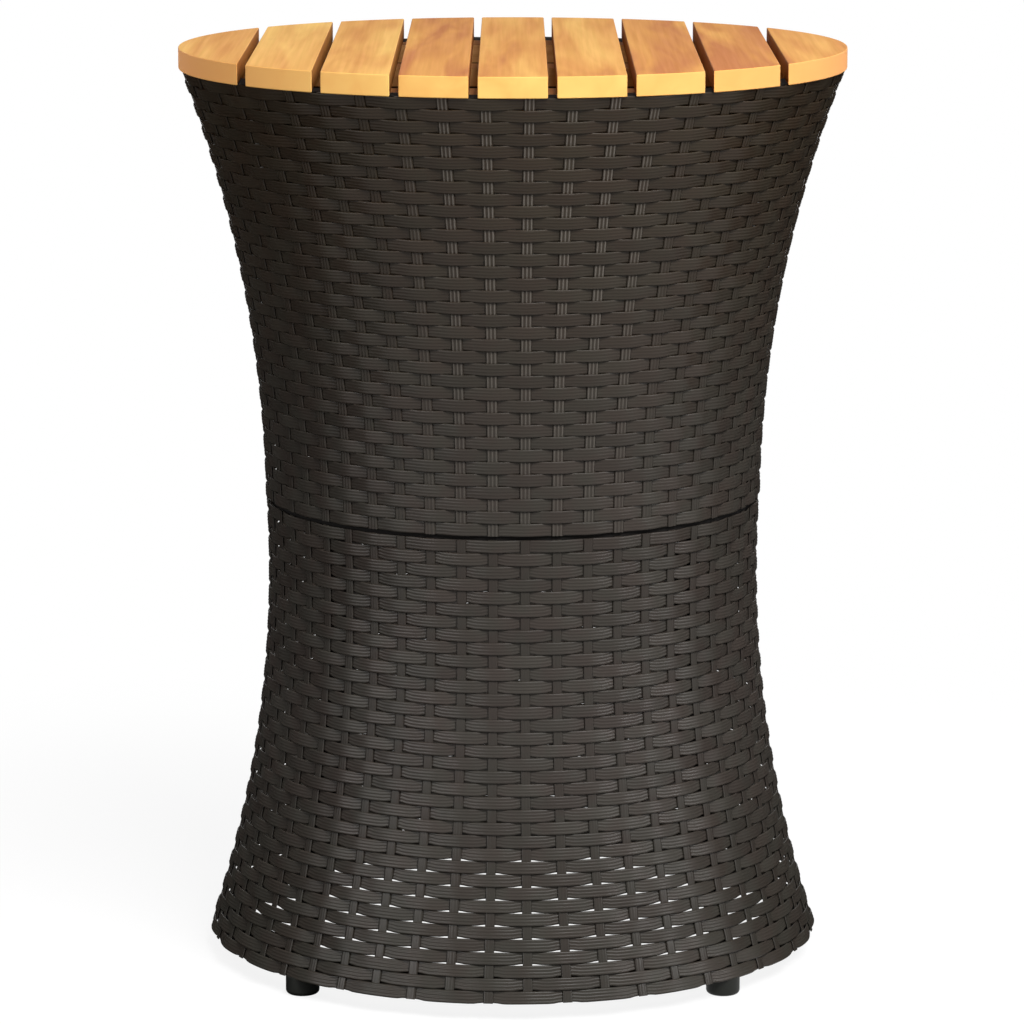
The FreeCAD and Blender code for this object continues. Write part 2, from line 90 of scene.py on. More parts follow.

# Each half of the drum is an arc that leaves its waist upright and flares out to its edge. Width is that
# of a strand over the height of its course; the strand and stake values that follow their rib heights are
# the strength of the painted highlight on their ribs; drop is how far a half's edge at the waist lies below
# that of its solid.
HALVES = {
    "upper": {"waist_radius": 180.6 * MM, "waist_height": 325.5 * MM, "edge_radius": 239.0 * MM,
              "width": 1.04, "ride_up": -0.15 * MM, "rib_height": 0.22 * MM, "strand_rib_highlight": 0.05,
              "stake_width": 8.0 * MM, "stake_rib_height": 0.4 * MM, "stake_rib_highlight": 0.6,
              "lightest_stake": 0.7, "drop": 0.0},
    "lower": {"waist_radius": 179.0 * MM, "waist_height": 287.3 * MM, "edge_radius": 224.0 * MM,
              "width": 1.0, "ride_up": 1.0 * MM, "rib_height": 0.30 * MM, "strand_rib_highlight": 0.05,
              "stake_width": 6.8 * MM, "stake_rib_height": 0.15 * MM, "stake_rib_highlight": 0.0,
              "lightest_stake": 0.0, "drop": 1.0 * MM},
}

# The top
SLAT_COUNT = 9
TOP_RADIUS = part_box("top_slat_5")[1].y
SLAT_ARC_POINTS = 25
SLAT_EASING = 0.8 * MM
MERGE_DISTANCE = 0.01 * MM
END_GRAIN_DEPTH = 0.3 * MM
# How pale each board is, from the left
SLAT_PALENESS = (0.10, 0.18, 0.15, -0.12, 0.00, 0.05, -0.06, -0.15, -0.04)

# The picture is taken from the front and a little above
IMAGE_PIXELS = 1024
FOCAL_PIXELS = 4828.879
SENSOR_WIDTH_MM = 36
CAMERA_PLACE = (0, -3.4717, 0.9699)
CAMERA_DIP = 0.185
CENTRE_SHIFT_PIXELS = (-0.8, 0.5)

# Lamps: degrees round from the front towards +X, degrees up, width, height and watts
LAMP_AIM = Vector((0, 0, 0.35))
LAMP_DISTANCE = 2.6
LAMPS = {
    "key": (27, 44, 1.4, 1.4, 80),
    "left_fill": (-80, 8, 1.4, 1.4, 14),
    "right_fill": (105, 4, 1.2, 1.2, 10),
    "left_back_fill": (-150, 12, 1.6, 1.6, 14),
    "right_back_fill": (150, 12, 1.6, 1.6, 14),
}
# Lamps that only gloss shows, so that ribs glint on the runs that turn to them
GLINTS = {
    "left_glint": (-46, 12, 2.0, 0.5, 26),
    "right_glint": (62, 12, 1.0, 0.5, 23),
}
# A little light inside the drum, so that its slots aren't black
GLOW_HEIGHTS = (0.10, 0.25, 0.40)
GLOW_WATTS = 0.35
GLOW_RADIUS = 0.05

# Dark cards beside and behind the table: how far out each stands and where its front edge is
FLAGS = {"left_flag": (-0.75, -0.35), "right_flag": (0.75, -0.1)}
FLAG_BACK = 2.5
FLAG_TOP = 1.2
FLAG_LIFT = 0.5 * MM
FLAG_INNER_SHARE = 0.1

FLOOR_REACH = 4.0


def linear(hex_colour):
    """An sRGB hex colour as linear red, green, blue and alpha."""
    channels = [int(hex_colour[i:i + 2], 16) / 255 for i in (1, 3, 5)]
    return [c / 12.92 if c <= 0.04045 else ((c + 0.055) / 1.055) ** 2.4 for c in channels] + [1]


def add(tree, kind, inputs=None, stops=(), **settings):
    """Add one node. Settings are its properties; inputs are values, sockets or nodes, by name or place.

    Stops are the values and hex colours of a ramp, in rising order.
    """
    node = tree.nodes.new(kind)
    for name, value in settings.items():
        setattr(node, name, value)
    for _ in stops[2:]:
        node.color_ramp.elements.new(1.0)
    for number, (position, colour) in enumerate(stops):
        node.color_ramp.elements[number].position = position
        node.color_ramp.elements[number].color = linear(colour)
    for key, value in (inputs or {}).items():
        # Sockets for other kinds of data can have the same name, and are switched off
        socket = next(place for number, place in enumerate(node.inputs)
                      if place.enabled and key in (number, place.name))
        if isinstance(value, bpy.types.Node):
            value = next(output for output in value.outputs if output.enabled)
        if isinstance(value, bpy.types.NodeSocket):
            tree.links.new(value, socket)
        else:
            socket.default_value = value
    return node


def new_tree(name, sizes, results):
    """A geometry tree with named inputs and outputs; returns it with the sockets of its inputs."""
    tree = bpy.data.node_groups.new(name, "GeometryNodeTree")
    for label, kind in sizes.items():
        tree.interface.new_socket(label, in_out="INPUT", socket_type=f"NodeSocket{kind}")
    for label, kind in results.items():
        tree.interface.new_socket(label, in_out="OUTPUT", socket_type=f"NodeSocket{kind}")
    return tree, add(tree, "NodeGroupInput").outputs


def finish_tree(tree, mesh, material):
    """End a geometry tree in real faces of one material."""
    real = add(tree, "GeometryNodeRealizeInstances", {"Geometry": mesh})
    finished = add(tree, "GeometryNodeSetMaterial", {"Geometry": real, "Material": material})
    add(tree, "NodeGroupOutput", {0: finished})


def grow(name, tree, values):
    """Run a geometry tree with these inputs and keep its result as a plain mesh."""
    piece = bpy.data.objects.new(name, bpy.data.meshes.new(name))
    scene.collection.objects.link(piece)
    modifier = piece.modifiers.new(tree.name, "NODES")
    modifier.node_group = tree
    for item in tree.interface.items_tree:
        if item.in_out == "INPUT" and item.name in values:
            modifier[item.identifier] = values[item.name]
    made = piece.evaluated_get(bpy.context.evaluated_depsgraph_get())
    mesh = bpy.data.meshes.new_from_object(made)
    piece.modifiers.remove(modifier)
    piece.data = mesh
    mesh.name = name
    return piece


def settle(piece, slot, *nodes):
    """Tie a finished piece to the table and hide the solids that it stands for. Its slot is not used."""
    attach(piece, "root")
    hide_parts(*nodes)


# Inputs that the trees of the weave share
SECTION_SIZES = {"Width": "Float", "Thickness": "Float", "Crown": "Float", "Ribs": "Int",
                 "Rib Height": "Float", "Crest": "Float"}
ARC_SIZES = {"Waist Radius": "Float", "Waist Height": "Float", "Bend": "Float"}
WEAVE_SIZES = {**ARC_SIZES, "Low Climb": "Float", "Course Climb": "Float", **SECTION_SIZES,
               "Wall Middle": "Float", "Swing": "Float", "Lightest": "Float", "Seed": "Int",
               "Material": "Material"}


def section_tree():
    """The cross-section of a flat strand: round ribs along a crowned outer face, a narrower flat back."""
    tree, size = new_tree("ribbed_section", SECTION_SIZES, {"Curve": "Geometry"})
    # Corners run across the outer face from edge to edge, then back over the two inner corners
    last = add(tree, "ShaderNodeMath", {0: size["Ribs"], 1: float(STEPS_PER_RIB)}, operation="MULTIPLY")
    corners = add(tree, "ShaderNodeMath", {0: last, 1: 1.0 + BACK_CORNERS}, operation="ADD")
    loop = add(tree, "GeometryNodeCurvePrimitiveCircle", {"Resolution": corners})
    number = add(tree, "GeometryNodeInputIndex")
    outer_across = add(tree, "ShaderNodeMapRange",
                       {"Value": number, "From Max": last, "To Min": -1.0, "To Max": 1.0})
    inner_first = add(tree, "ShaderNodeMath", {0: last, 1: 1.0}, operation="ADD")
    inner_last = add(tree, "ShaderNodeMath", {0: last, 1: float(BACK_CORNERS)}, operation="ADD")
    inner_across = add(tree, "ShaderNodeMapRange",
                       {"Value": number, "From Min": inner_first, "From Max": inner_last,
                        "To Min": BACK_WIDTH, "To Max": -BACK_WIDTH})
    behind = add(tree, "ShaderNodeMath", {0: number, 1: last}, operation="GREATER_THAN")
    across = add(tree, "GeometryNodeSwitch",
                 {"Switch": behind, "False": outer_across, "True": inner_across}, input_type="FLOAT")
    half_width = add(tree, "ShaderNodeMath", {0: size["Width"], 1: 0.5}, operation="MULTIPLY")
    half_thickness = add(tree, "ShaderNodeMath", {0: size["Thickness"], 1: 0.5}, operation="MULTIPLY")
    width = add(tree, "ShaderNodeMath", {0: across, 1: half_width}, operation="MULTIPLY")

    # Ribs are waves across the face, and the crown falls away towards the edges
    half_rib = add(tree, "ShaderNodeMath", {0: size["Rib Height"], 1: 0.5}, operation="MULTIPLY")
    rib_turn = add(tree, "ShaderNodeMath", {0: size["Ribs"], 1: math.pi}, operation="MULTIPLY")
    rib_angle = add(tree, "ShaderNodeMath", {0: across, 1: rib_turn, 2: rib_turn}, operation="MULTIPLY_ADD")
    wave = add(tree, "ShaderNodeMath", {0: rib_angle}, operation="COSINE")
    groove = add(tree, "ShaderNodeMath", {0: wave, 1: half_rib, 2: half_rib}, operation="MULTIPLY_ADD")
    square = add(tree, "ShaderNodeMath", {0: across, 1: across}, operation="MULTIPLY")
    fall = add(tree, "ShaderNodeMath", {0: square, 1: square}, operation="MULTIPLY")
    sunk = add(tree, "ShaderNodeMath", {0: fall, 1: size["Crown"], 2: groove}, operation="MULTIPLY_ADD")
    outer = add(tree, "ShaderNodeMath", {0: half_thickness, 1: sunk}, operation="SUBTRACT")
    inner = add(tree, "ShaderNodeMath", {0: half_thickness, 1: -1.0}, operation="MULTIPLY")
    depth = add(tree, "GeometryNodeSwitch", {"Switch": behind, "False": outer, "True": inner},
                input_type="FLOAT")
    place = add(tree, "ShaderNodeCombineXYZ", {"X": depth, "Y": width})

    # The crests of the ribs are marked with the strength of a painted highlight on them
    rise = add(tree, "ShaderNodeMapRange", {"Value": wave, "From Min": 1.0, "From Max": -1.0})
    ridge = add(tree, "ShaderNodeMath", {0: rise, 1: HIGHLIGHT_SHARPNESS}, operation="POWER")
    pale = add(tree, "ShaderNodeMath", {0: ridge, 1: size["Crest"]}, operation="MULTIPLY")
    marked = add(tree, "GeometryNodeStoreNamedAttribute",
                 {"Geometry": loop, "Name": "crest", "Value": pale}, data_type="FLOAT", domain="POINT")
    shaped = add(tree, "GeometryNodeSetPosition", {"Geometry": marked, "Position": place})
    add(tree, "NodeGroupOutput", {0: shaped})
    return tree


def wall_tree():
    """A place on the drum's wall, turned from the front, climbed up the arc and stood out from the wall."""
    tree, size = new_tree(
        "place_on_wall", {**ARC_SIZES, "Turn": "Float", "Climb": "Float", "Stand Out": "Float"},
        {"Place": "Vector", "Outward": "Vector"})
    reach = add(tree, "ShaderNodeMath", {0: size["Bend"], 1: size["Stand Out"]}, operation="SUBTRACT")
    level = add(tree, "ShaderNodeMath", {0: size["Climb"]}, operation="COSINE")
    rise = add(tree, "ShaderNodeMath", {0: size["Climb"]}, operation="SINE")
    to_centre = add(tree, "ShaderNodeMath", {0: size["Waist Radius"], 1: size["Bend"]}, operation="ADD")
    inward = add(tree, "ShaderNodeMath", {0: reach, 1: level}, operation="MULTIPLY")
    forward = add(tree, "ShaderNodeMath", {0: inward, 1: to_centre}, operation="SUBTRACT")
    height = add(tree, "ShaderNodeMath", {0: reach, 1: rise, 2: size["Waist Height"]},
                 operation="MULTIPLY_ADD")
    at_front = add(tree, "ShaderNodeCombineXYZ", {"Y": forward, "Z": height})
    in_front = add(tree, "ShaderNodeCombineXYZ", {"Y": level, "Z": rise})
    out_front = add(tree, "ShaderNodeVectorMath", {0: in_front, "Scale": -1.0}, operation="SCALE")
    place = add(tree, "ShaderNodeVectorRotate", {"Vector": at_front, "Angle": size["Turn"]},
                rotation_type="Z_AXIS")
    outward = add(tree, "ShaderNodeVectorRotate", {"Vector": out_front, "Angle": size["Turn"]},
                  rotation_type="Z_AXIS")
    add(tree, "NodeGroupOutput", {0: place, 1: outward})
    return tree


def sweep(tree, size, curves, path, owner, groups):
    """Lay curves on the drum's wall, face them outwards and draw the ribbed section along them.

    The path is turn, climb and stand out; each owner, a number, has its own tone.
    """
    section, wall = groups
    tone = add(tree, "FunctionNodeRandomValue",
               {"Max": size["Lightest"], "ID": owner, "Seed": size["Seed"]}, data_type="FLOAT")
    toned = add(tree, "GeometryNodeStoreNamedAttribute",
                {"Geometry": curves, "Name": "tone", "Value": tone}, data_type="FLOAT", domain="POINT")
    arc = {label: size[label] for label in ARC_SIZES}
    spot = add(tree, "GeometryNodeGroup", {**arc, **path}, node_tree=wall)
    faced = add(tree, "GeometryNodeSetCurveNormal",
                {"Curve": toned, "Normal": spot.outputs["Outward"]}, mode="FREE")
    placed = add(tree, "GeometryNodeSetPosition", {"Geometry": faced, "Position": spot.outputs["Place"]})
    profile = add(tree, "GeometryNodeGroup", {label: size[label] for label in SECTION_SIZES},
                  node_tree=section)
    mesh = add(tree, "GeometryNodeCurveToMesh",
               {"Curve": placed, "Profile Curve": profile, "Fill Caps": True})
    finish_tree(tree, mesh, size["Material"])


def strand_tree(groups):
    """Courses of strand, each a closed ring that swings out over one stake and in behind the next.

    A strand that rides up behind the stakes opens a slot beside each stake that shows. The last course lies
    level.
    """
    tree, size = new_tree(
        "woven_strands",
        {**WEAVE_SIZES, "First Course": "Int", "Courses": "Int", "Steps per Stake": "Int",
         "Ride Up": "Float", "Unevenness": "Float"},
        {"Mesh": "Geometry"})
    points = add(tree, "ShaderNodeMath", {0: size["Steps per Stake"], 1: float(STAKE_COUNT)},
                 operation="MULTIPLY")
    ring = add(tree, "GeometryNodeCurvePrimitiveCircle", {"Resolution": points, "Radius": 1.0})
    rings = add(tree, "GeometryNodeDuplicateElements", {"Geometry": ring, "Amount": size["Courses"]},
                domain="SPLINE")
    course = add(tree, "ShaderNodeMath", {0: rings.outputs["Duplicate Index"], 1: size["First Course"]},
                 operation="ADD")
    step = add(tree, "GeometryNodeSplineParameter").outputs["Index"]
    along = add(tree, "ShaderNodeMath", {0: step, 1: size["Steps per Stake"]}, operation="DIVIDE")
    turn = add(tree, "ShaderNodeMath", {0: along, 1: math.tau / STAKE_COUNT, 2: FIRST_STAKE},
               operation="MULTIPLY_ADD")
    beat = add(tree, "ShaderNodeMath", {0: along, 1: course}, operation="ADD")
    beat_angle = add(tree, "ShaderNodeMath", {0: beat, 1: math.pi}, operation="MULTIPLY")
    wave = add(tree, "ShaderNodeMath", {0: beat_angle}, operation="COSINE")
    stand = add(tree, "ShaderNodeMath", {0: wave, 1: size["Swing"], 2: size["Wall Middle"]},
                operation="MULTIPLY_ADD")

    # Each course strays a little by itself
    own = add(tree, "ShaderNodeMath", {0: course, 1: STRAY_STEP, 2: size["Seed"]}, operation="MULTIPLY_ADD")
    noise = add(tree, "ShaderNodeTexNoise",
                {"Vector": add(tree, "GeometryNodeInputPosition"), "W": own, "Scale": STRAY_SCALE,
                 "Detail": 1.0}, noise_dimensions="4D")
    stray = add(tree, "ShaderNodeMath", {0: noise.outputs["Fac"], 1: 0.5}, operation="SUBTRACT")
    drift = add(tree, "ShaderNodeMath", {0: stray, 1: size["Unevenness"]}, operation="MULTIPLY")
    behind = add(tree, "ShaderNodeMapRange", {"Value": wave, "From Min": RIDE_WAVE, "From Max": -1.0,
                                              "To Min": -0.5, "To Max": 0.5}, interpolation_type="SMOOTHSTEP")
    free = add(tree, "ShaderNodeMath", {0: course, 1: COURSE_COUNT - 1.0}, operation="LESS_THAN")
    ride = add(tree, "ShaderNodeMath", {0: free, 1: size["Ride Up"]}, operation="MULTIPLY")
    rise = add(tree, "ShaderNodeMath", {0: behind, 1: ride, 2: drift}, operation="MULTIPLY_ADD")
    rise_angle = add(tree, "ShaderNodeMath", {0: rise, 1: size["Bend"]}, operation="DIVIDE")
    middle = add(tree, "ShaderNodeMath", {0: course, 1: 0.5}, operation="ADD")
    level = add(tree, "ShaderNodeMath", {0: middle, 1: size["Course Climb"], 2: size["Low Climb"]},
                operation="MULTIPLY_ADD")
    climb = add(tree, "ShaderNodeMath", {0: level, 1: rise_angle}, operation="ADD")

    # A run, between two hidden places, has one tone
    half_beat = add(tree, "ShaderNodeMath", {0: beat, 1: 0.5, 2: 0.5}, operation="MULTIPLY_ADD")
    run = add(tree, "ShaderNodeMath", {0: half_beat}, operation="FLOOR")
    run_round = add(tree, "ShaderNodeMath", {0: run, 1: STAKE_COUNT / 2}, operation="FLOORED_MODULO")
    run_number = add(tree, "ShaderNodeMath", {0: course, 1: float(STAKE_COUNT), 2: run_round},
                     operation="MULTIPLY_ADD")
    sweep(tree, size, rings, {"Turn": turn, "Climb": climb, "Stand Out": stand}, run_number, groups)
    return tree


def stake_tree(groups):
    """Upright stakes, each pushed in by the strands that pass in front and out by those behind."""
    tree, size = new_tree("stakes", {**WEAVE_SIZES, "Courses": "Int", "Steps per Course": "Int"},
                          {"Mesh": "Geometry"})
    steps = add(tree, "ShaderNodeMath", {0: size["Courses"], 1: size["Steps per Course"], 2: 1.0},
                operation="MULTIPLY_ADD")
    line = add(tree, "GeometryNodeResampleCurve",
               {"Curve": add(tree, "GeometryNodeCurvePrimitiveLine"), "Count": steps})
    lines = add(tree, "GeometryNodeDuplicateElements", {"Geometry": line, "Amount": STAKE_COUNT},
                domain="SPLINE")
    stake = lines.outputs["Duplicate Index"]
    turn = add(tree, "ShaderNodeMath", {0: stake, 1: math.tau / STAKE_COUNT, 2: FIRST_STAKE},
               operation="MULTIPLY_ADD")
    step = add(tree, "GeometryNodeSplineParameter").outputs["Index"]
    course = add(tree, "ShaderNodeMath", {0: step, 1: size["Steps per Course"]}, operation="DIVIDE")
    from_middle = add(tree, "ShaderNodeMath", {0: course, 1: 0.5}, operation="SUBTRACT")
    beat = add(tree, "ShaderNodeMath", {0: from_middle, 1: stake}, operation="ADD")
    beat_angle = add(tree, "ShaderNodeMath", {0: beat, 1: math.pi}, operation="MULTIPLY")
    wave = add(tree, "ShaderNodeMath", {0: beat_angle}, operation="COSINE")
    push = add(tree, "ShaderNodeMath", {0: wave, 1: size["Swing"]}, operation="MULTIPLY")
    stand = add(tree, "ShaderNodeMath", {0: size["Wall Middle"], 1: push}, operation="SUBTRACT")
    climb = add(tree, "ShaderNodeMath", {0: course, 1: size["Course Climb"], 2: size["Low Climb"]},
                operation="MULTIPLY_ADD")
    sweep(tree, size, lines, {"Turn": turn, "Climb": climb, "Stand Out": stand}, stake, groups)
    return tree


def slat_tree():
    """One slat of a round top: straight sides, and ends that follow the top's edge."""
    tree, size = new_tree(
        "slat",
        {"Left": "Float", "Right": "Float", "Top Radius": "Float", "Floor": "Float", "Thickness": "Float",
         "Arc Points": "Int", "Board": "Float", "Paleness": "Float", "Material": "Material"},
        {"Mesh": "Geometry"})
    count = add(tree, "ShaderNodeMath", {0: size["Arc Points"], 1: 2.0}, operation="MULTIPLY")
    blank = add(tree, "GeometryNodeMeshCircle", {"Vertices": count}, fill_type="NGON")

    # Corners run along the front end from left to right, then along the back end from right to left
    angles = []
    for side in ("Left", "Right"):
        ratio = add(tree, "ShaderNodeMath", {0: size[side], 1: size["Top Radius"]}, operation="DIVIDE")
        angles.append(add(tree, "ShaderNodeMath", {0: ratio}, operation="ARCSINE"))
    number = add(tree, "GeometryNodeInputIndex")
    front_last = add(tree, "ShaderNodeMath", {0: size["Arc Points"], 1: 1.0}, operation="SUBTRACT")
    back_last = add(tree, "ShaderNodeMath", {0: count, 1: 1.0}, operation="SUBTRACT")
    front_angle = add(tree, "ShaderNodeMapRange",
                      {"Value": number, "From Min": 0.0, "From Max": front_last, "To Min": angles[0],
                       "To Max": angles[1]})
    back_angle = add(tree, "ShaderNodeMapRange",
                     {"Value": number, "From Min": size["Arc Points"], "From Max": back_last,
                      "To Min": angles[1], "To Max": angles[0]})
    at_back = add(tree, "ShaderNodeMath", {0: number, 1: front_last}, operation="GREATER_THAN")
    angle = add(tree, "GeometryNodeSwitch", {"Switch": at_back, "False": front_angle, "True": back_angle},
                input_type="FLOAT")
    end = add(tree, "ShaderNodeMath", {0: at_back, 1: 2.0, 2: -1.0}, operation="MULTIPLY_ADD")
    across = add(tree, "ShaderNodeMath", {0: angle}, operation="SINE")
    depth = add(tree, "ShaderNodeMath", {0: angle}, operation="COSINE")
    along = add(tree, "ShaderNodeMath", {0: depth, 1: end}, operation="MULTIPLY")
    direction = add(tree, "ShaderNodeCombineXYZ", {"X": across, "Y": along})
    edge = add(tree, "ShaderNodeVectorMath", {0: direction, "Scale": size["Top Radius"]}, operation="SCALE")
    lift = add(tree, "ShaderNodeCombineXYZ", {"Z": size["Floor"]})
    place = add(tree, "ShaderNodeVectorMath", {0: edge, 1: lift}, operation="ADD")

    underside = add(tree, "GeometryNodeSetPosition", {"Geometry": blank, "Position": place})
    raised = add(tree, "GeometryNodeExtrudeMesh",
                 {"Mesh": underside, "Offset": (0, 0, 1), "Offset Scale": size["Thickness"],
                  "Individual": False}, mode="FACES")
    closing = add(tree, "GeometryNodeFlipFaces", {"Mesh": underside})
    both = add(tree, "GeometryNodeJoinGeometry", {0: closing})
    tree.links.new(raised.outputs["Mesh"], both.inputs[0])
    closed = add(tree, "GeometryNodeMergeByDistance", {"Geometry": both, "Distance": MERGE_DISTANCE})
    numbered = add(tree, "GeometryNodeStoreNamedAttribute",
                   {"Geometry": closed, "Name": "board", "Value": size["Board"]}, data_type="FLOAT",
                   domain="POINT")
    marked = add(tree, "GeometryNodeStoreNamedAttribute",
                 {"Geometry": numbered, "Name": "pale", "Value": size["Paleness"]}, data_type="FLOAT",
                 domain="POINT")
    finish_tree(tree, marked, size["Material"])
    return tree


def new_material(name):
    """A material with no nodes, and its tree."""
    material = bpy.data.materials.new(name)
    material.use_nodes = True
    material.node_tree.nodes.clear()
    return material, material.node_tree


def finish_material(tree, inputs):
    """End a material in one shader with these inputs."""
    shader = add(tree, "ShaderNodeBsdfPrincipled", inputs)
    add(tree, "ShaderNodeOutputMaterial", {"Surface": shader})


def wicker():
    """Extruded polyethylene strand: satin, brown running into olive grey, with runs that differ in tone.

    It is browner and darker under the top and greyer towards the floor. Ribs carry a painted highlight,
    strongest at the front and towards the top.
    """
    material, tree = new_material("polyethylene_wicker")
    place = add(tree, "ShaderNodeTexCoord").outputs["Object"]
    height = add(tree, "ShaderNodeSeparateXYZ", {"Vector": place}).outputs["Z"]

    # Patches of hue, 22 mm across, on a colour that changes with height
    noise = add(tree, "ShaderNodeTexNoise", {"Vector": place, "Scale": 1 / (22 * MM), "Detail": 2.0})
    patches = noise.outputs["Fac"]
    hue = add(tree, "ShaderNodeMapRange", {"Value": patches, "From Min": 0.38, "From Max": 0.62})
    tint = add(tree, "ShaderNodeMix", {"Factor": hue, "A": linear("#FFF8F6"), "B": linear("#FBFFFB")},
               data_type="RGBA")
    # Browner and darker just under the top, greyer lower down
    base = add(tree, "ShaderNodeValToRGB", {"Fac": height},
               stops=((0.05, "#393530"), (0.20, "#3F3A36"), (0.40, "#39342F"), (0.62, "#342B21")))
    tinted = add(tree, "ShaderNodeMix", {"Factor": 1.0, "A": base, "B": tint}, data_type="RGBA",
                 blend_type="MULTIPLY")
    tone = add(tree, "ShaderNodeAttribute", attribute_name="tone").outputs["Fac"]
    level = add(tree, "ShaderNodeMapRange", {"Value": tone, "To Min": 0.84, "To Max": 1.06})
    colour = add(tree, "ShaderNodeMix", {"Factor": 1.0, "A": tinted, "B": level}, data_type="RGBA",
                 blend_type="MULTIPLY")

    # A painted highlight on the rib crests: strongest where the drum faces the front, a little to the right,
    # and high up; at the waist and below it keeps 0.3 of its strength
    level_place = add(tree, "ShaderNodeVectorMath", {0: place, 1: (1, 1, 0)}, operation="MULTIPLY")
    direction = add(tree, "ShaderNodeVectorMath", {0: level_place}, operation="NORMALIZE")
    facing = add(tree, "ShaderNodeVectorMath", {0: direction, 1: HIGHLIGHT_SIDE}, operation="DOT_PRODUCT")
    highlight_facing = add(tree, "ShaderNodeMapRange", {"Value": facing, "From Min": 0.86, "From Max": 0.985},
                interpolation_type="SMOOTHSTEP")
    highlight_height = add(tree, "ShaderNodeMapRange", {"Value": height, "From Min": 0.33, "From Max": 0.55,
                                                "To Min": 0.3})
    highlight_strength = add(tree, "ShaderNodeMath", {0: highlight_facing, 1: highlight_height}, operation="MULTIPLY")
    crest = add(tree, "ShaderNodeAttribute", attribute_name="crest").outputs["Fac"]
    painted_highlight = add(tree, "ShaderNodeMath", {0: crest, 1: highlight_strength}, operation="MULTIPLY")
    # The painted highlight is this pale grey, laid over the rib crests
    highlighted = add(tree, "ShaderNodeMix", {"Factor": painted_highlight, "A": colour, "B": linear("#8A837B")},
               data_type="RGBA")
    dull = add(tree, "ShaderNodeMapRange", {"Value": patches, "From Min": 0.3, "From Max": 0.7,
                                            "To Min": 0.28, "To Max": 0.38})
    finish_material(tree, {"Base Color": highlighted, "Roughness": dull, "Specular IOR Level": 0.16})
    return material


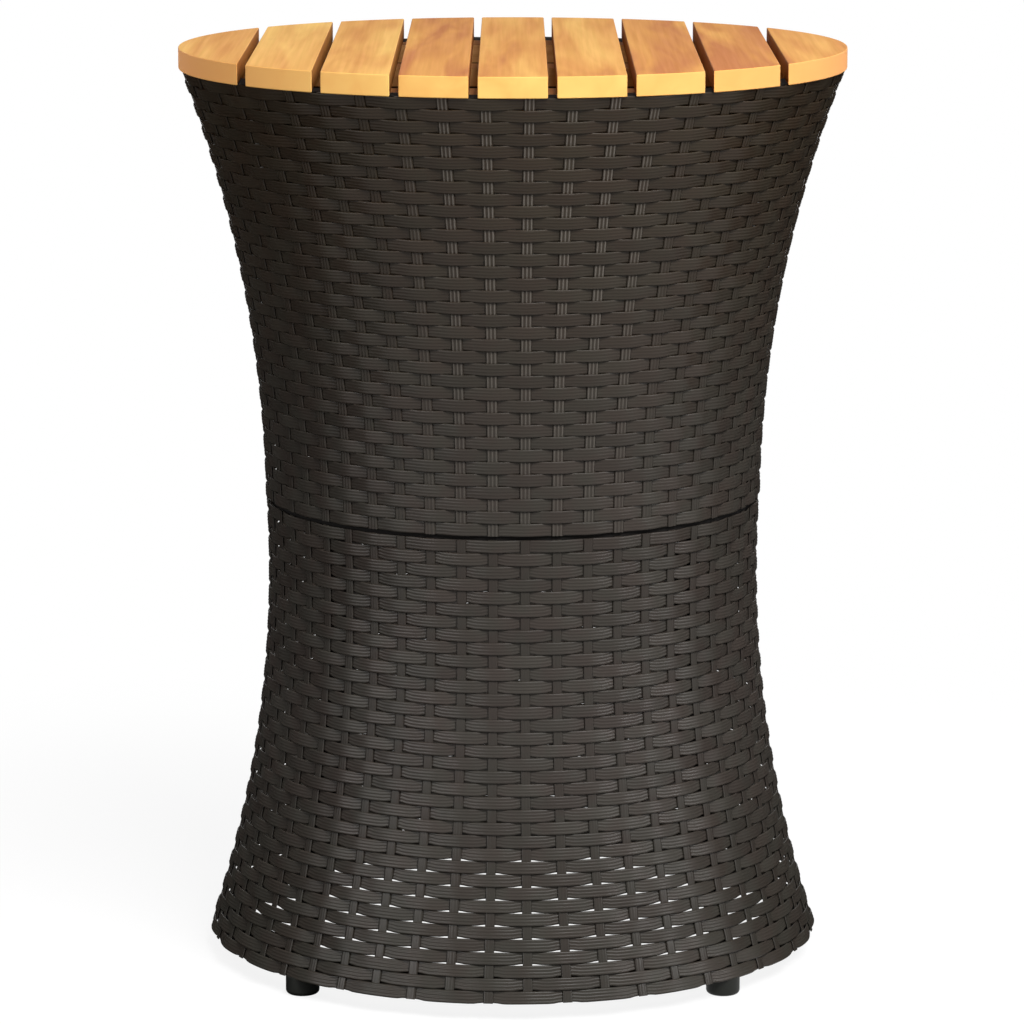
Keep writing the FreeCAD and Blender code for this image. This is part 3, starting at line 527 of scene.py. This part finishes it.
def acacia():
    """Oiled acacia boards: broad honey and orange figure along the board, a few knots, yellow sawn ends."""
    material, tree = new_material("oiled_acacia")
    board = add(tree, "ShaderNodeAttribute", attribute_name="board").outputs["Fac"]
    pale = add(tree, "ShaderNodeAttribute", attribute_name="pale").outputs["Fac"]
    place = add(tree, "ShaderNodeTexCoord").outputs["Object"]
    own = add(tree, "ShaderNodeMath", {0: board, 1: 5.7}, operation="MULTIPLY")

    # Broad figure, 24 mm across the board and 260 mm along it
    broad = add(tree, "ShaderNodeMapping", {"Vector": place, "Scale": (1 / 0.024, 1 / 0.26, 1 / 0.024)})
    figure = add(tree, "ShaderNodeTexNoise",
                 {"Vector": broad, "W": own, "Scale": 1.0, "Detail": 2.0, "Distortion": 0.8},
                 noise_dimensions="4D")
    share = add(tree, "ShaderNodeMath", {0: figure.outputs["Fac"], 1: pale}, operation="ADD")
    honey = add(tree, "ShaderNodeValToRGB", {"Fac": share},
                stops=((0.25, "#B56F3A"), (0.45, "#CD8D46"), (0.65, "#DCA356"), (0.90, "#EABC67")))

    # Fine grain, 3 mm apart
    fine = add(tree, "ShaderNodeMapping", {"Vector": place, "Scale": (1 / 0.003, 1 / 0.15, 1 / 0.003)})
    noise = add(tree, "ShaderNodeTexNoise", {"Vector": fine, "W": own, "Scale": 1.0, "Detail": 3.0},
                noise_dimensions="4D")
    grain = noise.outputs["Fac"]
    lines = add(tree, "ShaderNodeMapRange",
                {"Value": grain, "From Min": 0.35, "From Max": 0.65, "To Min": 0.93, "To Max": 1.03})
    face = add(tree, "ShaderNodeMix", {"Factor": 1.0, "A": honey, "B": lines}, data_type="RGBA",
               blend_type="MULTIPLY")

    # A knot here and there, longer along the board
    spread = add(tree, "ShaderNodeMapping", {"Vector": place, "Scale": (1 / 0.055, 1 / 0.12, 1 / 0.055)})
    cells = add(tree, "ShaderNodeTexVoronoi", {"Vector": spread, "W": own, "Scale": 1.0},
                voronoi_dimensions="4D")
    spot = add(tree, "ShaderNodeMapRange", {"Value": cells.outputs["Distance"], "From Min": 0.05,
                                            "From Max": 0.20, "To Min": 0.7, "To Max": 0.0},
               interpolation_type="SMOOTHSTEP")
    lot = add(tree, "ShaderNodeSeparateColor", {"Color": cells.outputs["Color"]}).outputs["Red"]
    chosen = add(tree, "ShaderNodeMath", {0: lot, 1: 0.6}, operation="GREATER_THAN")
    knot = add(tree, "ShaderNodeMath", {0: spot, 1: chosen}, operation="MULTIPLY")
    knotted = add(tree, "ShaderNodeMix", {"Factor": knot, "A": face, "B": linear("#A05F30")},
                  data_type="RGBA")

    # The long sides, down in the gaps, are painted darker brown as painted shade for the gaps
    normal = add(tree, "ShaderNodeTexCoord").outputs["Normal"]
    to_side = add(tree, "ShaderNodeSeparateXYZ", {"Vector": normal}).outputs["X"]
    sideways = add(tree, "ShaderNodeMath", {0: to_side}, operation="ABSOLUTE")
    gap_shade_mask = add(tree, "ShaderNodeMapRange",
                 {"Value": sideways, "From Min": 0.7, "From Max": 0.95, "To Max": 0.75})
    gap_shaded = add(tree, "ShaderNodeMix", {"Factor": gap_shade_mask, "A": knotted, "B": linear("#9A5C2A")},
                data_type="RGBA")

    # The sawn edge is end grain at the front and back, and turns to side grain towards the flanks
    end = add(tree, "ShaderNodeMix", {"Factor": share, "A": linear("#F0AE5C"), "B": linear("#FFD67C")},
              data_type="RGBA")
    along = add(tree, "ShaderNodeSeparateXYZ", {"Vector": place}).outputs["Y"]
    square = add(tree, "ShaderNodeMath", {0: along, 1: along}, operation="MULTIPLY")
    crossing = add(tree, "ShaderNodeMath", {0: square, 1: TOP_RADIUS ** 2}, operation="DIVIDE")
    sawn = add(tree, "ShaderNodeMix", {"Factor": crossing, "A": linear("#FFB068"), "B": end},
               data_type="RGBA")
    level = add(tree, "ShaderNodeVectorMath", {0: place, 1: (1, 1, 0)}, operation="MULTIPLY")
    radius = add(tree, "ShaderNodeVectorMath", {0: level}, operation="LENGTH")
    at_end = add(tree, "ShaderNodeMath", {0: radius, 1: TOP_RADIUS - END_GRAIN_DEPTH},
                 operation="GREATER_THAN")
    colour = add(tree, "ShaderNodeMix", {"Factor": at_end, "A": gap_shaded, "B": sawn}, data_type="RGBA")

    dull = add(tree, "ShaderNodeMapRange", {"Value": grain, "From Min": 0.3, "From Max": 0.7,
                                            "To Min": 0.75, "To Max": 0.62})
    bump = add(tree, "ShaderNodeBump", {"Height": grain, "Strength": 0.15, "Distance": 0.2 * MM})
    finish_material(tree, {"Base Color": colour, "Roughness": dull, "Specular IOR Level": 0.1,
                           "Normal": bump})
    return material


def batten_wood():
    """Sawn acacia battens: pale sides as painted light under the slats, browner tops as painted shade."""
    material, tree = new_material("sawn_acacia_batten")
    place = add(tree, "ShaderNodeTexCoord").outputs["Object"]
    # Saw marks and grain, 3 mm apart and 70 mm long
    fine = add(tree, "ShaderNodeMapping", {"Vector": place, "Scale": (1 / 0.07, 1 / 0.003, 1 / 0.003)})
    noise = add(tree, "ShaderNodeTexNoise", {"Vector": fine, "Scale": 1.0, "Detail": 5.0, "Distortion": 0.3})
    grain = noise.outputs["Fac"]
    # The sides are painted pale, as painted light in the shade under the slats
    sawn = add(tree, "ShaderNodeMix", {"Factor": grain, "A": linear("#C6894F"), "B": linear("#F0B87C")},
               data_type="RGBA")
    # The tops are painted browner, as painted shade against the light through the gaps
    brown = add(tree, "ShaderNodeMix", {"Factor": grain, "A": linear("#A87040"), "B": linear("#C89058")},
                data_type="RGBA")
    normal = add(tree, "ShaderNodeTexCoord").outputs["Normal"]
    upward = add(tree, "ShaderNodeSeparateXYZ", {"Vector": normal}).outputs["Z"]
    shaded_top_mask = add(tree, "ShaderNodeMapRange", {"Value": upward, "From Min": 0.3, "From Max": 0.9})
    colour = add(tree, "ShaderNodeMix", {"Factor": shaded_top_mask, "A": sawn, "B": brown}, data_type="RGBA")
    bump = add(tree, "ShaderNodeBump", {"Height": grain, "Strength": 0.4, "Distance": 0.2 * MM})
    finish_material(tree, {"Base Color": colour, "Roughness": 0.75, "Specular IOR Level": 0.1,
                           "Normal": bump})
    return material


def powder_coat():
    """Black powder-coated steel: matt, with a faint orange peel, 1.5 mm across."""
    material, tree = new_material("powder_coated_steel")
    place = add(tree, "ShaderNodeTexCoord").outputs["Object"]
    noise = add(tree, "ShaderNodeTexNoise", {"Vector": place, "Scale": 1 / (1.5 * MM), "Detail": 2.0})
    peel = noise.outputs["Fac"]
    colour = add(tree, "ShaderNodeMix", {"Factor": peel, "A": linear("#1D1B1A"), "B": linear("#262423")},
                 data_type="RGBA")
    bump = add(tree, "ShaderNodeBump", {"Height": peel, "Strength": 0.3, "Distance": 0.1 * MM})
    finish_material(tree, {"Base Color": colour, "Roughness": 0.75, "Specular IOR Level": 0.05,
                           "Normal": bump})
    return material


def foot_plastic():
    """Moulded black polypropylene with a spark-eroded grain, drawn 0.8 mm coarse so that it shows."""
    material, tree = new_material("moulded_polypropylene")
    place = add(tree, "ShaderNodeTexCoord").outputs["Object"]
    noise = add(tree, "ShaderNodeTexNoise", {"Vector": place, "Scale": 1 / (0.8 * MM), "Detail": 2.0})
    grit = noise.outputs["Fac"]
    colour = add(tree, "ShaderNodeMix", {"Factor": grit, "A": linear("#191A17"), "B": linear("#242521")},
                 data_type="RGBA")
    bump = add(tree, "ShaderNodeBump", {"Height": grit, "Strength": 0.3, "Distance": 0.1 * MM})
    finish_material(tree, {"Base Color": colour, "Roughness": 0.5, "Specular IOR Level": 0.2,
                           "Normal": bump})
    return material


def zinc():
    """Bright zinc plating on steel: grey metal with cloudy patches, 4 mm across."""
    material, tree = new_material("zinc_plated_steel")
    place = add(tree, "ShaderNodeTexCoord").outputs["Object"]
    noise = add(tree, "ShaderNodeTexNoise", {"Vector": place, "Scale": 1 / (4 * MM), "Detail": 3.0})
    cloud = noise.outputs["Fac"]
    colour = add(tree, "ShaderNodeMix", {"Factor": cloud, "A": linear("#A9ACAE"), "B": linear("#C4C6C6")},
                 data_type="RGBA")
    dull = add(tree, "ShaderNodeMapRange", {"Value": cloud, "To Min": 0.28, "To Max": 0.42})
    finish_material(tree, {"Base Color": colour, "Metallic": 1.0, "Roughness": dull})
    return material


def weave_half(name, edge, trees, material):
    """The strands and stakes of one half of the drum, whose wide edge is its lowest or its highest corner."""
    half = HALVES[name]
    strands, stakes = trees
    node = f"{name}_weave"
    heights = [corner.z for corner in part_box(node)]
    heights[1 - edge] -= half["drop"]
    flare = half["edge_radius"] - half["waist_radius"]
    bend = (flare ** 2 + (heights[edge] - half["waist_height"]) ** 2) / (2 * flare)
    low_climb, high_climb = (math.asin((height - half["waist_height"]) / bend) for height in heights)
    course_climb = (high_climb - low_climb) / COURSE_COUNT
    shared = {"Waist Radius": half["waist_radius"], "Waist Height": half["waist_height"], "Bend": bend,
              "Low Climb": low_climb, "Course Climb": course_climb, "Thickness": STRAND_THICKNESS,
              "Wall Middle": -STRAND_SWING - STRAND_THICKNESS / 2, "Material": material}
    courses = COURSE_COUNT // BANDS_PER_HALF
    for band in range(BANDS_PER_HALF):
        piece = grow(f"{name}_strands_{band + 1}", strands,
                     {**shared, "Width": half["width"] * course_climb * bend, "Crown": STRAND_CROWN,
                      "Ribs": STRAND_RIBS, "Rib Height": half["rib_height"], "Crest": half["strand_rib_highlight"],
                      "Swing": STRAND_SWING, "Ride Up": half["ride_up"], "Unevenness": STRAND_UNEVENNESS,
                      "First Course": band * courses, "Courses": courses,
                      "Steps per Stake": STEPS_PER_STAKE, "Lightest": LIGHTEST_STRAND, "Seed": STRAND_SEED})
        settle(piece, "wicker", node)
    piece = grow(f"{name}_stakes", stakes,
                 {**shared, "Width": half["stake_width"], "Crown": STAKE_CROWN, "Ribs": STAKE_RIBS,
                  "Rib Height": half["stake_rib_height"], "Crest": half["stake_rib_highlight"],
                  "Swing": STAKE_SWING, "Courses": COURSE_COUNT, "Steps per Course": STEPS_PER_COURSE,
                  "Lightest": half["lightest_stake"], "Seed": STAKE_SEED})
    settle(piece, "wicker", node)


def weave():
    """Both halves of the drum."""
    material = wicker()
    groups = (section_tree(), wall_tree())
    trees = (strand_tree(groups), stake_tree(groups))
    weave_half("upper", 1, trees, material)
    weave_half("lower", 0, trees, material)


def slats():
    """The nine slats, each with eased edges and its own figure."""
    material = acacia()
    tree = slat_tree()
    for number in range(1, SLAT_COUNT + 1):
        low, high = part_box(f"top_slat_{number}")
        piece = grow(f"slat_{number}", tree,
                     {"Left": low.x, "Right": high.x, "Top Radius": TOP_RADIUS, "Floor": low.z,
                      "Thickness": high.z - low.z, "Arc Points": SLAT_ARC_POINTS, "Board": float(number),
                      "Paleness": SLAT_PALENESS[number - 1], "Material": material})
        easing = piece.modifiers.new("easing", "BEVEL")
        easing.width = SLAT_EASING
        easing.segments = 3
        easing.angle_limit = math.radians(35)
        flats = piece.modifiers.new("flats", "WEIGHTED_NORMAL")
        flats.weight = 100
        settle(piece, "acacia", f"top_slat_{number}")
        piece.data.shade_smooth()


def finishes():
    """Finishes of the pieces that show as they are."""
    looks = {"acacia_batten": batten_wood(), "frame_steel": powder_coat(), "foot_plastic": foot_plastic(),
             "zinc": zinc()}
    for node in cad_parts.values():
        for place in node.material_slots:
            slot = place.material.name.split(".")[0]
            if slot in looks:
                place.material = looks[slot]


def camera():
    """The photograph's view: from the front, a little above, with a long lens."""
    lens = bpy.data.cameras.new("camera")
    lens.sensor_width = SENSOR_WIDTH_MM
    lens.lens = FOCAL_PIXELS / IMAGE_PIXELS * SENSOR_WIDTH_MM
    lens.shift_x = CENTRE_SHIFT_PIXELS[0] / IMAGE_PIXELS
    lens.shift_y = CENTRE_SHIFT_PIXELS[1] / IMAGE_PIXELS
    viewer = bpy.data.objects.new("camera", lens)
    viewer.location = CAMERA_PLACE
    viewer.rotation_euler = (math.pi / 2 - CAMERA_DIP, 0, 0)
    scene.collection.objects.link(viewer)
    scene.camera = viewer


def seen_rays(tree):
    """A value that is 1 for rays that reach the eye straight, mirrored or through something clear."""
    path = add(tree, "ShaderNodeLightPath").outputs
    bounced = add(tree, "ShaderNodeMath", {0: path["Is Camera Ray"], 1: path["Is Glossy Ray"]},
                  operation="MAXIMUM")
    return add(tree, "ShaderNodeMath", {0: bounced, 1: path["Is Transmission Ray"]}, operation="MAXIMUM")


def ground():
    """A pale floor that is white to the eye and keeps the shadow; from below it is clear."""
    mesh = bpy.data.meshes.new("floor")
    reach = FLOOR_REACH
    mesh.from_pydata([(-reach, -reach, 0), (reach, -reach, 0), (reach, reach, 0), (-reach, reach, 0)], [],
                     [(0, 1, 2, 3)])
    floor = bpy.data.objects.new("floor", mesh)
    scene.collection.objects.link(floor)
    material, tree = new_material("white_floor")
    lit = add(tree, "ShaderNodeBsdfDiffuse", {"Color": linear("#808080")})
    shade = add(tree, "ShaderNodeBsdfDiffuse", {"Color": linear("#707070")})
    glow = add(tree, "ShaderNodeEmission", {"Color": WHITE, "Strength": 0.85})
    near = add(tree, "ShaderNodeAddShader", {0: shade, 1: glow})
    far = add(tree, "ShaderNodeEmission", {"Color": WHITE, "Strength": 1.0})
    place = add(tree, "ShaderNodeTexCoord").outputs["Object"]
    radius = add(tree, "ShaderNodeVectorMath", {0: place}, operation="LENGTH")
    fade = add(tree, "ShaderNodeMapRange", {"Value": radius, "From Min": 0.35, "From Max": 1.0},
               interpolation_type="SMOOTHSTEP")
    white = add(tree, "ShaderNodeMixShader", {0: fade, 1: near, 2: far})
    above = add(tree, "ShaderNodeMixShader", {0: seen_rays(tree), 1: lit, 2: white})
    below = add(tree, "ShaderNodeNewGeometry").outputs["Backfacing"]
    clear = add(tree, "ShaderNodeBsdfTransparent")
    surface = add(tree, "ShaderNodeMixShader", {0: below, 1: above, 2: clear})
    add(tree, "ShaderNodeOutputMaterial", {"Surface": surface})
    mesh.materials.append(material)


def surroundings():
    """White to the eye, and a dimmer light all round."""
    world = bpy.data.worlds.new("surroundings")
    scene.world = world
    world.use_nodes = True
    tree = world.node_tree
    tree.nodes.clear()
    strength = add(tree, "ShaderNodeMapRange", {"Value": seen_rays(tree), "To Min": 0.30, "To Max": 1.0})
    sky = add(tree, "ShaderNodeBackground", {"Color": WHITE, "Strength": strength})
    add(tree, "ShaderNodeOutputWorld", {"Surface": sky})


def flag(name, side, front, material):
    """A dark folded card beside and behind the table; only reflections show it, so flanks keep dark edges."""
    inner = FLAG_INNER_SHARE * side
    mesh = bpy.data.meshes.new(name)
    mesh.from_pydata([(side, front, FLAG_LIFT), (side, FLAG_BACK, FLAG_LIFT), (side, FLAG_BACK, FLAG_TOP),
                      (side, front, FLAG_TOP), (inner, front, FLAG_LIFT), (inner, FLAG_BACK, FLAG_LIFT)], [],
                     [(0, 1, 2, 3), (4, 5, 1, 0)])
    card = bpy.data.objects.new(name, mesh)
    scene.collection.objects.link(card)
    card.visible_camera = False
    card.visible_diffuse = False
    card.visible_shadow = False
    mesh.materials.append(material)


def flags():
    """One dark card on each side."""
    material, tree = new_material("black_card")
    finish_material(tree, {"Base Color": linear("#101010"), "Specular IOR Level": 0.0})
    for name, (side, front) in FLAGS.items():
        flag(name, side, front, material)


def lamp(name, turn, height, width, tall, power):
    """A soft lamp, aimed at the middle of the table."""
    light = bpy.data.lights.new(name, "AREA")
    light.shape = "RECTANGLE"
    light.size = width
    light.size_y = tall
    light.energy = power
    body = bpy.data.objects.new(name, light)
    turn = math.radians(turn)
    level = LAMP_DISTANCE * math.cos(math.radians(height))
    rise = LAMP_DISTANCE * math.sin(math.radians(height))
    body.location = LAMP_AIM + Vector((level * math.sin(turn), -level * math.cos(turn), rise))
    body.rotation_euler = (LAMP_AIM - body.location).to_track_quat("-Z", "Y").to_euler()
    scene.collection.objects.link(body)
    return body


def lamps():
    """Soft light from all round, glints for the gloss, and a glow inside the drum."""
    for name, values in LAMPS.items():
        lamp(name, *values)
    for name, values in GLINTS.items():
        card = lamp(name, *values)
        card.visible_diffuse = False
    for number, height in enumerate(GLOW_HEIGHTS, start=1):
        light = bpy.data.lights.new(f"inner_glow_{number}", "POINT")
        light.energy = GLOW_WATTS
        light.shadow_soft_size = GLOW_RADIUS
        body = bpy.data.objects.new(light.name, light)
        body.location = (0, 0, height)
        body.visible_camera = False
        body.visible_glossy = False
        scene.collection.objects.link(body)


weave()
slats()
finishes()
camera()
ground()
surroundings()
flags()
lamps()
scene.view_settings.view_transform = "Standard"
